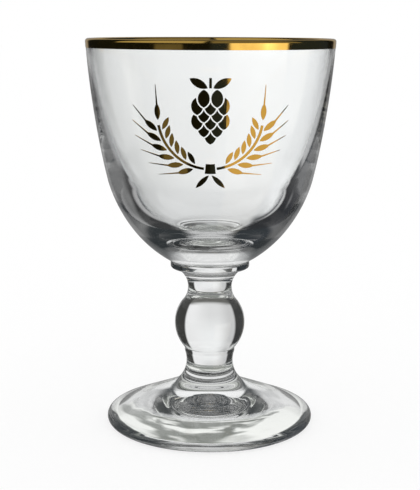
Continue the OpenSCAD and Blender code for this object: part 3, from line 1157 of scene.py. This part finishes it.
@dataclass
class Drawing:
    """A flat drawing that is made of strips, with its middle at the wreath's middle."""

    points: list[Point] = field(default_factory=list)
    faces: list[tuple[int, ...]] = field(default_factory=list)

    def strip(self, left: Sequence[Point], right: Sequence[Point], across: int = 4) -> "Drawing":
        """Adds the area between two lines that have as many points.

        Args:
            left: One side.
            right: The other side.
            across: The number of faces from side to side.

        Returns:
            The drawing itself.
        """
        start = len(self.points)
        for (ax, ay), (bx, by) in zip(left, right):
            for j in range(across + 1):
                t = j / across
                self.points.append((ax + (bx - ax) * t, ay + (by - ay) * t))
        width = across + 1
        for i in range(len(left) - 1):
            for j in range(across):
                a = start + i * width + j
                self.faces.append((a, a + 1, a + 1 + width, a + width))
        return self

    def add(self, other: "Drawing", place: Point = (0.0, 0.0), turn: float = 0.0) -> "Drawing":
        """Adds another drawing, turned by some degrees and moved.

        Args:
            other: The drawing to add.
            place: Where its middle goes.
            turn: How far it turns, counterclockwise.

        Returns:
            The drawing itself.
        """
        start = len(self.points)
        c, s = math.cos(math.radians(turn)), math.sin(math.radians(turn))
        self.points += [(place[0] + c * x - s * y, place[1] + s * x + c * y) for x, y in other.points]
        self.faces += [tuple(start + i for i in face) for face in other.faces]
        return self

    def mirrored(self) -> "Drawing":
        """Returns the drawing as a mirror shows it."""
        return Drawing([(-x, y) for x, y in self.points], [face[::-1] for face in self.faces])

    def mesh_object(self, name: str) -> bpy.types.Object:
        """Makes the drawing an object, with its doubled points merged.

        Args:
            name: The object's name.

        Returns:
            The object.
        """
        mesh = bpy.data.meshes.new(name)
        mesh.from_pydata([(x, y, 0.0) for x, y in self.points], [], self.faces)
        work = bmesh.new()
        work.from_mesh(mesh)
        bmesh.ops.remove_doubles(work, verts=work.verts, dist=SAME_POINT)
        work.to_mesh(mesh)
        work.free()
        return place_object(name, mesh)

    @classmethod
    def from_mesh(cls, mesh: bpy.types.Mesh) -> "Drawing":
        """Returns a flat mesh as a drawing."""
        return cls([(v.co.x, v.co.y) for v in mesh.vertices], [tuple(p.vertices) for p in mesh.polygons])


def oval_radius(length: float, width: float) -> float:
    """Returns the radius of the two arcs that a pointed oval is made of."""
    return ((width / 2) ** 2 + (length / 2) ** 2) / width


def leaf(length: float, width: float, steps: int = 14) -> Drawing:
    """Draws a pointed oval that stands on its lower tip.

    Args:
        length: Its length.
        width: Its width.
        steps: The number of stretches of each side.

    Returns:
        The oval.
    """
    radius = oval_radius(length, width)
    heights = np.linspace(-length / 2, length / 2, steps + 1)
    half = [max(math.sqrt(radius ** 2 - h * h) - radius + width / 2, 0.0) for h in heights]
    left = [(-w, h + length / 2) for w, h in zip(half, heights)]
    right = [(w, h + length / 2) for w, h in zip(half, heights)]
    return Drawing().strip(left, right)


def taper(length: float, start: float, end: float, steps: int = 8) -> Drawing:
    """Draws a straight stroke that stands on the drawing's middle.

    Args:
        length: Its length.
        start: Its width at the foot.
        end: Its width at the top.
        steps: The number of stretches.

    Returns:
        The stroke.
    """
    shares = np.linspace(0, 1, steps + 1)
    half = [(start + (end - start) * t) / 2 for t in shares]
    return Drawing().strip([(-w, length * t) for w, t in zip(half, shares)],
                           [(w, length * t) for w, t in zip(half, shares)], across=1)


def ring_stretch(radius: float, width: float, start: float, end: float, steps: int,
                 across: int = 2) -> Drawing:
    """Draws a stretch of a ring.

    Args:
        radius: The radius of the ring's middle line.
        width: The ring's width.
        start: Where the stretch starts, in degrees from the ring's lowest point.
        end: Where it ends.
        steps: The number of stretches along it.
        across: The number of faces across it.

    Returns:
        The stretch.
    """
    inner = arc((0.0, 0.0), radius - width / 2, start - 90, end - 90, steps)
    outer = arc((0.0, 0.0), radius + width / 2, start - 90, end - 90, steps)
    return Drawing().strip(inner, outer, across)


@dataclass
class Wreath:
    """The gold print: two ears of barley round a hop cone, tied at the bottom."""

    wall: bpy.types.Object
    rise: float
    radius: float = 15.5 * MM
    grain: Point = (5.0 * MM, 1.7 * MM)
    beard: float = 6.0 * MM
    beard_width: float = 0.5 * MM
    stalk: float = 0.8 * MM
    tie: float = 3.0 * MM
    tail: Point = (5.6 * MM, 1.5 * MM)
    scale: Point = (5.2 * MM, 3.5 * MM)
    leaf_size: Point = (6.0 * MM, 2.4 * MM)
    gap: float = 0.4 * MM
    tie_angle: float = 7.0
    first_angle: float = 18.0
    last_angle: float = 86.0
    pairs: int = 6
    outer_tilt: float = 35.0
    inner_tilt: float = 42.0
    beard_tilt: float = 25.0
    tail_tilt: float = 135.0
    inner_share: float = 0.85
    beard_tip_share: float = 0.3
    hop_rows: tuple[int, ...] = (2, 3, 2, 3, 2, 1)
    row_share: float = 0.42
    hop_leaf_tilt: float = 62.0
    proud: float = 0.06 * MM
    sunk: float = 0.02 * MM
    start: float = 60 * MM

    @property
    def step(self) -> float:
        """Angle from one pair of grains to the next, in degrees."""
        return (self.last_angle - self.first_angle) / self.pairs

    def bearded_grain(self, bend: float) -> Drawing:
        """Returns a grain with a beard that bends away from it by some degrees."""
        beard = taper(self.beard, self.beard_width, self.beard_tip_share * self.beard_width)
        return leaf(*self.grain).add(beard, (0.0, self.grain[0] - self.beard_width), bend)

    def grain_row(self, tree: bpy.types.NodeTree, grain: Drawing, side: float, tilt: float,
                  size: float) -> Drawing:
        """Sets grains in a row along the stalk.

        Args:
            tree: The tree that repeats a grain round a ring.
            grain: The grain.
            side: How far outside the stalk's middle the grains start.
            tilt: How far they lean out from the stalk, in degrees.
            size: Their size as a share of the drawn grain.

        Returns:
            The row.
        """
        row = grown(grain.mesh_object("grain"), tree, "grain_row", {
            "Count": self.pairs, "Ring Radius": self.radius + side,
            "First Angle": math.radians(self.first_angle), "Step Angle": math.radians(self.step),
            "Tilt": math.radians(tilt), "Grain Scale": size, "Surface": PRINT_GOLD.material()})
        drawing = Drawing.from_mesh(row.data)
        bpy.data.objects.remove(row)
        return drawing

    def ear(self, tree: bpy.types.NodeTree) -> Drawing:
        """Draws the right ear of barley.

        Args:
            tree: The tree that repeats a grain round a ring.

        Returns:
            The ear.
        """
        side = self.stalk / 2 + self.gap
        ear = ring_stretch(self.radius, self.stalk, self.tie_angle, self.last_angle - self.step / 2,
                           STALK_STEPS)
        bearded = self.bearded_grain(self.outer_tilt - self.beard_tilt)
        ear.add(self.grain_row(tree, bearded, side, self.outer_tilt, 1.0))
        ear.add(self.grain_row(tree, leaf(*self.grain), -side, -self.inner_tilt, self.inner_share))
        a = math.radians(self.last_angle)
        tip = (self.radius * math.sin(a), -self.radius * math.cos(a))
        return ear.add(self.bearded_grain(0.0), tip, self.last_angle - 90)

    def scale_reach(self, offset: float, edge: float) -> float:
        """Tells how far a hop scale reaches up and down.

        Args:
            offset: The distance beside the scale's middle.
            edge: How much wider than the scale its outline is taken.

        Returns:
            Half the outline's height there.
        """
        length, width = self.scale[0] + 2 * edge, self.scale[1] + 2 * edge
        radius = oval_radius(length, width)
        return math.sqrt(max(radius ** 2 - (abs(offset) + radius - width / 2) ** 2, 0.0))

    def hop_scale(self, row: int, middle: float) -> Drawing:
        """Returns what shows of one hop scale under the rows above it.

        Args:
            row: The row, from the top down.
            middle: The scale's middle, beside the cone's.

        Returns:
            The scale's visible part.
        """
        length, width = self.scale
        pitch = width + self.gap
        covers = []
        for above in (row - 1, row - 2):
            if above >= 0:
                count = self.hop_rows[above]
                base = -above * self.row_share * length
                covers += [((i - (count - 1) / 2) * pitch, base) for i in range(count)]
        low, high = [], []
        for x in np.linspace(middle - width / 2, middle + width / 2, SCALE_STEPS + 1):
            centre = -row * self.row_share * length + length / 2
            reach = self.scale_reach(x - middle, 0.0)
            top = centre + reach
            for cover_middle, base in covers:
                if abs(x - cover_middle) < width / 2 + self.gap:
                    top = min(top, base + length / 2 - self.scale_reach(x - cover_middle, self.gap))
            low.append((x, centre - reach))
            high.append((x, max(top, centre - reach)))
        return Drawing().strip(low, high)

    def hop(self) -> Drawing:
        """Draws the hop cone.

        Returns:
            The cone with its two leaves and its stalk.
        """
        length, width = self.scale
        cone = length * (1 + self.row_share * (len(self.hop_rows) - 1))
        lift = cone / 2 - length
        hop = Drawing()
        for row, count in enumerate(self.hop_rows):
            for i in range(count):
                hop.add(self.hop_scale(row, (i - (count - 1) / 2) * (width + self.gap)), (0.0, lift))
        top = lift + length + self.gap
        for side in (-1, 1):
            place = (side * (self.stalk / 2 + self.gap), top)
            hop.add(leaf(*self.leaf_size), place, -side * self.hop_leaf_tilt)
        return hop.add(taper(self.tie, self.stalk, self.stalk), (0.0, top))

    def band(self) -> Drawing:
        """Draws the band that ties the ears.

        Returns:
            The band with its tails.
        """
        reach = self.tie_angle - math.degrees(math.atan2(self.gap, self.radius))
        band = ring_stretch(self.radius, self.tie, -reach, reach, BAND_STEPS, across=6)
        for side in (-1, 1):
            place = (side * self.gap, -self.radius - self.tie / 2 - self.gap)
            band.add(leaf(*self.tail), place, -side * self.tail_tilt)
        return band

    def lay(self, tree: bpy.types.NodeTree, drawing: Drawing, node: str) -> bpy.types.Object:
        """Lays one part of the drawing on the bowl.

        Args:
            tree: The tree that lays a drawing on a wall.
            drawing: The part.
            node: The CAD node that it stands for.

        Returns:
            The finished piece.
        """
        made = grown(drawing.mesh_object(node + "_drawing"), tree, "print_" + node, {
            "Wall": self.wall, "Rise": self.rise, "Start": self.start, "Sunk": self.sunk, "Proud": self.proud,
            "Surface": PRINT_GOLD.material()})
        close_mesh(made.data)
        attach(made, BODY)
        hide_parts(node)
        return made

    def build(self) -> list[bpy.types.Object]:
        """Prints the wreath.

        Returns:
            Its four parts.
        """
        rows, film = row_tree(), print_tree()
        ear = self.ear(rows)
        return [
            self.lay(film, ear, "barley_right"),
            self.lay(film, ear.mirrored(), "barley_left"),
            self.lay(film, self.hop(), "hop_cone"),
            self.lay(film, self.band(), "wreath_tie"),
        ]


# Studio

class Seen(Enum):
    """How light from the studio reaches the eye."""

    SOLID = "Through solid glass"
    WALLS = "Through both walls"
    INSIDE = "Mirrored inside the glass"
    DEEP = "Mirrored many times inside"
    MIRRORED = "Mirrored outside"


@dataclass(frozen=True)
class Panel:
    """A panel of light or a dark flag round the glass, for one way of seeing it.

    Its middle is an azimuth in degrees from the back of the glass towards its right side, and it reaches
    between two elevations. Its edges fade over the given number of degrees. In a row of panels each one
    stands in front of those before it.
    """

    seen: Seen
    azimuth: float
    half_width: float
    low: float
    high: float
    strength: float
    colour: str = "#ffffff"
    edge: float = 3.0
    edge_up: float = 6.0


AROUND = {
    Seen.SOLID: "#f6f7f7",
    Seen.WALLS: "#eeeeed",
    Seen.INSIDE: "#464a4c",
    Seen.DEEP: "#34383a",
    Seen.MIRRORED: "#14171b",
}
PANELS = (
    # The wall behind the glass, brighter on its right and darker towards the table, and the light table
    Panel(Seen.SOLID, 0, 180, -90, -12, 0.76, edge_up=26),
    Panel(Seen.SOLID, 26, 14, -90, 90, 0.90, edge=24),
    Panel(Seen.SOLID, -32, 14, -90, 90, 0.62, edge=20),
    Panel(Seen.SOLID, 0, 180, -90, -35.5, 0.13, "#f8f8ee", edge_up=5),
    Panel(Seen.SOLID, 0, 180, -90, -62, 0.80, edge_up=6),
    Panel(Seen.WALLS, 0, 180, -90, -24, 0.80, edge_up=16),
    Panel(Seen.WALLS, 10, 12, -22, 90, 1.20, edge=28, edge_up=44),
    Panel(Seen.WALLS, -32, 12, -90, 90, 0.85, edge=10),
    Panel(Seen.WALLS, -19, 3, -22, -5, 1.15, edge=6),
    Panel(Seen.WALLS, 29, 13, -90, 90, 1.40, edge=16),
    Panel(Seen.WALLS, 0, 180, -90, -43, 0.45, edge_up=10),
    # Black flags beside it, which draw the dark edges
    Panel(Seen.SOLID, 57, 23, -50, 32, 0.045, "#f8f8ee", edge=5, edge_up=8),
    Panel(Seen.SOLID, -58, 22, -50, 28, 0.045, "#f8f8ee", edge=6, edge_up=8),
    Panel(Seen.WALLS, 24, 20, -64, -38, 0.08, edge=8, edge_up=5),
    # What the walls and the thick bottom mirror inside
    Panel(Seen.INSIDE, 0, 46, 20, 53, 0.98, edge=10, edge_up=6),
    Panel(Seen.INSIDE, 0, 19, 4, 20, 0.88, edge=18, edge_up=6),
    Panel(Seen.INSIDE, 0, 180, 69, 90, 0.14, edge_up=4),
    Panel(Seen.INSIDE, 180, 52, -20, 4, 0.42, edge=10, edge_up=5),
    Panel(Seen.INSIDE, 180, 62, 3, 19, 0.17, edge=10, edge_up=4),
    Panel(Seen.INSIDE, -130, 17, -8, 5, 0.66, edge=16, edge_up=5),
    Panel(Seen.INSIDE, 0, 44, -60, 4, 0.46, edge=4, edge_up=3),
    Panel(Seen.INSIDE, 0, 44, -3, 9, 0.19, edge=10, edge_up=4),
    Panel(Seen.INSIDE, -20, 8, -60, -9, 0.24, edge=12, edge_up=14),
    Panel(Seen.INSIDE, 12, 14, -38, -2, 0.03, edge=6, edge_up=6),
    Panel(Seen.INSIDE, 36, 8, -42, -14, 0.66, edge=6, edge_up=12),
    Panel(Seen.INSIDE, 20, 20, -56, -31, 0.03, edge=4, edge_up=5),
    Panel(Seen.INSIDE, -18, 18, -56, -32, 0.05, edge=6, edge_up=6),
    Panel(Seen.INSIDE, 66, 11, 5, 60, 0.02, edge=5),
    Panel(Seen.INSIDE, -66, 11, 5, 60, 0.02, edge=5),
    Panel(Seen.INSIDE, 88, 12, -30, 12, 0.62, "#fdf6e4", edge=6, edge_up=4),
    Panel(Seen.INSIDE, -80, 18, -34, -4, 0.82, edge=6),
    Panel(Seen.INSIDE, -93, 17, 3, 15, 0.05, edge=5, edge_up=3),
    # What several mirrorings gather, in the foot's dimple and in the bowl's dark bottom
    Panel(Seen.DEEP, 0, 28, -90, 90, 0.64, edge=16),
    Panel(Seen.DEEP, 180, 60, -40, 60, 0.14, edge=30, edge_up=20),
    Panel(Seen.DEEP, 86, 13, 0, 26, 0.22, edge=12, edge_up=10),
    Panel(Seen.DEEP, -84, 15, -4, 24, 0.16, edge=12, edge_up=10),
    Panel(Seen.DEEP, 0, 62, 60, 90, 0.55, edge=26, edge_up=10),
    # The softboxes in front, which gold shows, and the dim room over and between them
    Panel(Seen.MIRRORED, 0, 30, -50, 60, 0.30, edge=8),
    Panel(Seen.MIRRORED, 171, 9, -70, 90, 1.0, "#222c44", edge=4),
    Panel(Seen.MIRRORED, 76, 28, -70, 90, 1.0, "#222c44", edge=6),
    Panel(Seen.MIRRORED, 135, 28, -70, 40, 1.1, "#fff6ea", edge_up=12),
    Panel(Seen.MIRRORED, 127, 5, -70, 40, 1.7, edge=18, edge_up=12),
    Panel(Seen.MIRRORED, 135, 28, -70, -10, 0.62, "#fff0d8", edge_up=3),
    Panel(Seen.MIRRORED, 135, 44, 1.5, 80, 0.18, edge_up=2),
    Panel(Seen.MIRRORED, -130, 44, 1.5, 80, 0.38, edge_up=2),
    Panel(Seen.MIRRORED, -142, 13, -70, -6, 0.12),
)


def panel_share(tree: bpy.types.NodeTree, azimuth: bpy.types.Node, elevation: bpy.types.Node,
                panel: Panel) -> bpy.types.Node:
    """Adds how much of a direction's light comes from a panel.

    Args:
        tree: The tree that gets the nodes.
        azimuth: The direction's azimuth, in radians.
        elevation: Its elevation.
        panel: The panel.

    Returns:
        The node that is one on the panel, nought off it and between them on its edges.
    """
    beside = add_node(tree, "ShaderNodeMath", {"operation": "SUBTRACT"}, (
        azimuth, math.radians(panel.azimuth)))
    turn = add_node(tree, "ShaderNodeMath", {"operation": "WRAP"}, (beside, math.pi, -math.pi))
    middle = math.radians((panel.low + panel.high) / 2)
    rise = add_node(tree, "ShaderNodeMath", {"operation": "SUBTRACT"}, (elevation, middle))
    half_height = (panel.high - panel.low) / 2
    shares = []
    for distance, reach, edge in ((turn, panel.half_width, panel.edge), (rise, half_height, panel.edge_up)):
        off = add_node(tree, "ShaderNodeMath", {"operation": "ABSOLUTE"}, (distance,))
        shares.append(add_node(tree, "ShaderNodeMapRange", {"interpolation_type": "SMOOTHSTEP"}, {
            "Value": off, "From Min": math.radians(reach + edge / 2),
            "From Max": math.radians(reach - edge / 2)}))
    return add_node(tree, "ShaderNodeMath", {"operation": "MULTIPLY"}, shares)


def studio_tree(panels: Sequence[Panel]) -> bpy.types.NodeTree:
    """Builds the group that tells the light that comes from a direction.

    Args:
        panels: The panels of light.

    Returns:
        A shader group from a direction to a colour for each way of seeing it.
    """
    tree, given, result = new_tree("studio_light", "ShaderNodeTree", {
        "Direction": "NodeSocketVector"}, {seen.value: "NodeSocketColor" for seen in Seen})
    way = add_node(tree, "ShaderNodeVectorMath", {"operation": "NORMALIZE"}, (given.outputs["Direction"],))
    part = add_node(tree, "ShaderNodeSeparateXYZ", feeds=(way,))
    azimuth = add_node(tree, "ShaderNodeMath", {"operation": "ARCTAN2"}, (
        part.outputs["X"], part.outputs["Y"]))
    elevation = add_node(tree, "ShaderNodeMath", {"operation": "ARCSINE"}, (part.outputs["Z"],))
    colours = {}
    for seen in Seen:
        around = add_node(tree, "ShaderNodeRGB")
        around.outputs[0].default_value = linear(AROUND[seen])
        colours[seen] = around
    for panel in panels:
        glow = tuple(panel.strength * c for c in linear(panel.colour)[:3]) + (1.0,)
        colours[panel.seen] = add_node(tree, "ShaderNodeMix", {"data_type": "RGBA"}, {
            "Factor": panel_share(tree, azimuth, elevation, panel), "A": colours[panel.seen], "B": glow})
    for seen, node in colours.items():
        tree.links.new(first_output(node), result.inputs[seen.value])
    return tree


@dataclass
class Studio:
    """The floor, the light round the glass and the camera."""

    floor_radius: float = 6.0
    floor_drop: float = 0.1 * MM
    card_radius: float = 64 * MM
    card_low: float = 70 * MM
    card_top: float = 220 * MM
    segments: int = 96
    near: float = 0.01
    far: float = 20.0
    bounces: int = 48
    glass_bounces: int = 32
    clear_bounces: int = 24

    def light(self, tree: bpy.types.NodeTree, group: bpy.types.NodeTree) -> bpy.types.Node:
        """Adds the light that mirrors and clear glass see.

        Args:
            tree: The world's tree.
            group: The group that tells the light from a direction.

        Returns:
            The node with the light's colour.
        """
        direction = add_node(tree, "ShaderNodeTexCoord").outputs["Generated"]
        studio = add_node(tree, "ShaderNodeGroup", {"node_tree": group}, (direction,))
        path = add_node(tree, "ShaderNodeLightPath")
        crossings, mirrorings = path.outputs["Transmission Depth"], path.outputs["Glossy Depth"]
        middle = (SEVERAL_MIRRORINGS + MANY_MIRRORINGS) / 2
        reach = (MANY_MIRRORINGS - SEVERAL_MIRRORINGS) / 2
        choices = (
            (Seen.WALLS, "GREATER_THAN", (crossings, BOTH_WALLS)),
            (Seen.INSIDE, "GREATER_THAN", (mirrorings, ONE_MIRRORING)),
            (Seen.DEEP, "COMPARE", (mirrorings, middle, reach)),
            (Seen.MIRRORED, "SUBTRACT", (1.0, path.outputs["Is Transmission Ray"])),
        )
        colour = studio.outputs[Seen.SOLID.value]
        for seen, operation, values in choices:
            chosen = add_node(tree, "ShaderNodeMath", {"operation": operation}, values)
            colour = add_node(tree, "ShaderNodeMix", {"data_type": "RGBA"}, {
                "Factor": chosen, "A": colour, "B": studio.outputs[seen.value]})
        return colour

    def build_world(self, group: bpy.types.NodeTree) -> None:
        """Lights the scene with an even white dome, in which glass and gold see the studio's panels.

        Args:
            group: The group that tells the light from a direction.
        """
        world = bpy.data.worlds.new("studio")
        bpy.context.scene.world = world
        world.use_nodes = True
        tree = world.node_tree
        tree.nodes.clear()
        path = add_node(tree, "ShaderNodeLightPath")
        sharp = add_node(tree, "ShaderNodeMath", {"operation": "MAXIMUM"}, (
            path.outputs["Is Transmission Ray"], path.outputs["Is Glossy Ray"]))
        dome = add_node(tree, "ShaderNodeMix", {"data_type": "RGBA"}, {
            "Factor": sharp, "A": WHITE, "B": self.light(tree, group)})
        light = add_node(tree, "ShaderNodeBackground", feeds={"Color": dome, "Strength": 1.0})
        add_node(tree, "ShaderNodeOutputWorld", feeds={"Surface": light})

    def studio_object(self, name: str, work: bmesh.types.BMesh, finish: Finish) -> bpy.types.Object:
        """Makes a part of the studio from a worked mesh.

        Args:
            name: The part's name.
            work: Its shape, which can't be used after that.
            finish: Its finish.

        Returns:
            The part.
        """
        mesh = bpy.data.meshes.new(name)
        work.to_mesh(mesh)
        work.free()
        mesh.materials.append(finish.material())
        return place_object(name, mesh)

    def build_floor(self) -> None:
        """Lays the white floor, which keeps the glass's soft shadow and shows a painted shade under the foot
        to light that went through glass.
        """
        work = bmesh.new()
        bmesh.ops.create_circle(work, cap_ends=True, segments=self.segments, radius=self.floor_radius)
        bmesh.ops.translate(work, verts=work.verts, vec=(0.0, 0.0, -self.floor_drop))
        floor = self.studio_object("studio_floor", work, TABLE_PAINT)
        floor.visible_glossy = False

    def build_card(self) -> None:
        """Rings the bowl with a white card."""
        work = bmesh.new()
        bmesh.ops.create_cone(work, segments=self.segments, radius1=self.card_radius,
                              radius2=self.card_radius, depth=self.card_top - self.card_low)
        bmesh.ops.translate(work, verts=work.verts, vec=(0.0, 0.0, (self.card_top + self.card_low) / 2))
        card = self.studio_object("studio_card", work, WHITE_CARD)
        card.visible_camera = card.visible_diffuse = card.visible_glossy = card.visible_shadow = False

    def build_camera(self) -> None:
        """Sets up the photograph's camera."""
        data = bpy.data.cameras.new("camera")
        data.sensor_width = SENSOR_MM
        data.sensor_fit = "AUTO"
        data.lens = FOCAL_PIXELS * SENSOR_MM / PHOTO_HEIGHT
        data.clip_start = self.near
        data.clip_end = self.far
        camera = place_object("camera", data)
        camera.location = (0.0, -CAMERA_BACK, CAMERA_RISE)
        pitch = Matrix.Rotation(math.radians(90 - CAMERA_PITCH), 3, "X")
        roll = Matrix.Rotation(math.radians(CAMERA_ROLL), 3, "Z")
        camera.rotation_euler = (pitch @ roll).to_euler()
        bpy.context.scene.camera = camera

    def build(self) -> None:
        """Builds the light, the floor, the card and the camera."""
        self.build_world(studio_tree(PANELS))
        self.build_floor()
        self.build_card()
        self.build_camera()
        scene = bpy.context.scene
        scene.view_settings.view_transform = "Standard"
        scene.cycles.max_bounces = self.bounces
        scene.cycles.transmission_bounces = self.glass_bounces
        scene.cycles.glossy_bounces = self.glass_bounces
        scene.cycles.transparent_max_bounces = self.clear_bounces


def report(piece: bpy.types.Object) -> None:
    """Logs a finished piece with its number of triangles."""
    triangles = sum(len(p.vertices) - 2 for p in piece.data.polygons)
    log.info("%s: %d triangles", piece.name, triangles)


def main() -> None:
    """Builds the studio and every piece of the glass."""
    logging.basicConfig(level=logging.INFO, format="%(message)s")
    Studio().build()
    turning = turning_tree()
    bowl_maker = Bowl()
    bowl = bowl_maker.build(turning)
    pieces = [bowl] + [maker.build(turning) for maker in (Collar(), Stem(), Foot(), LipGold(bowl=bowl_maker))]
    pieces += Wreath(wall=bowl, rise=bowl_maker.seat + bowl_maker.height - PRINT_DROP).build()
    for piece in pieces:
        report(piece)


if __name__ == "__main__":
    main()
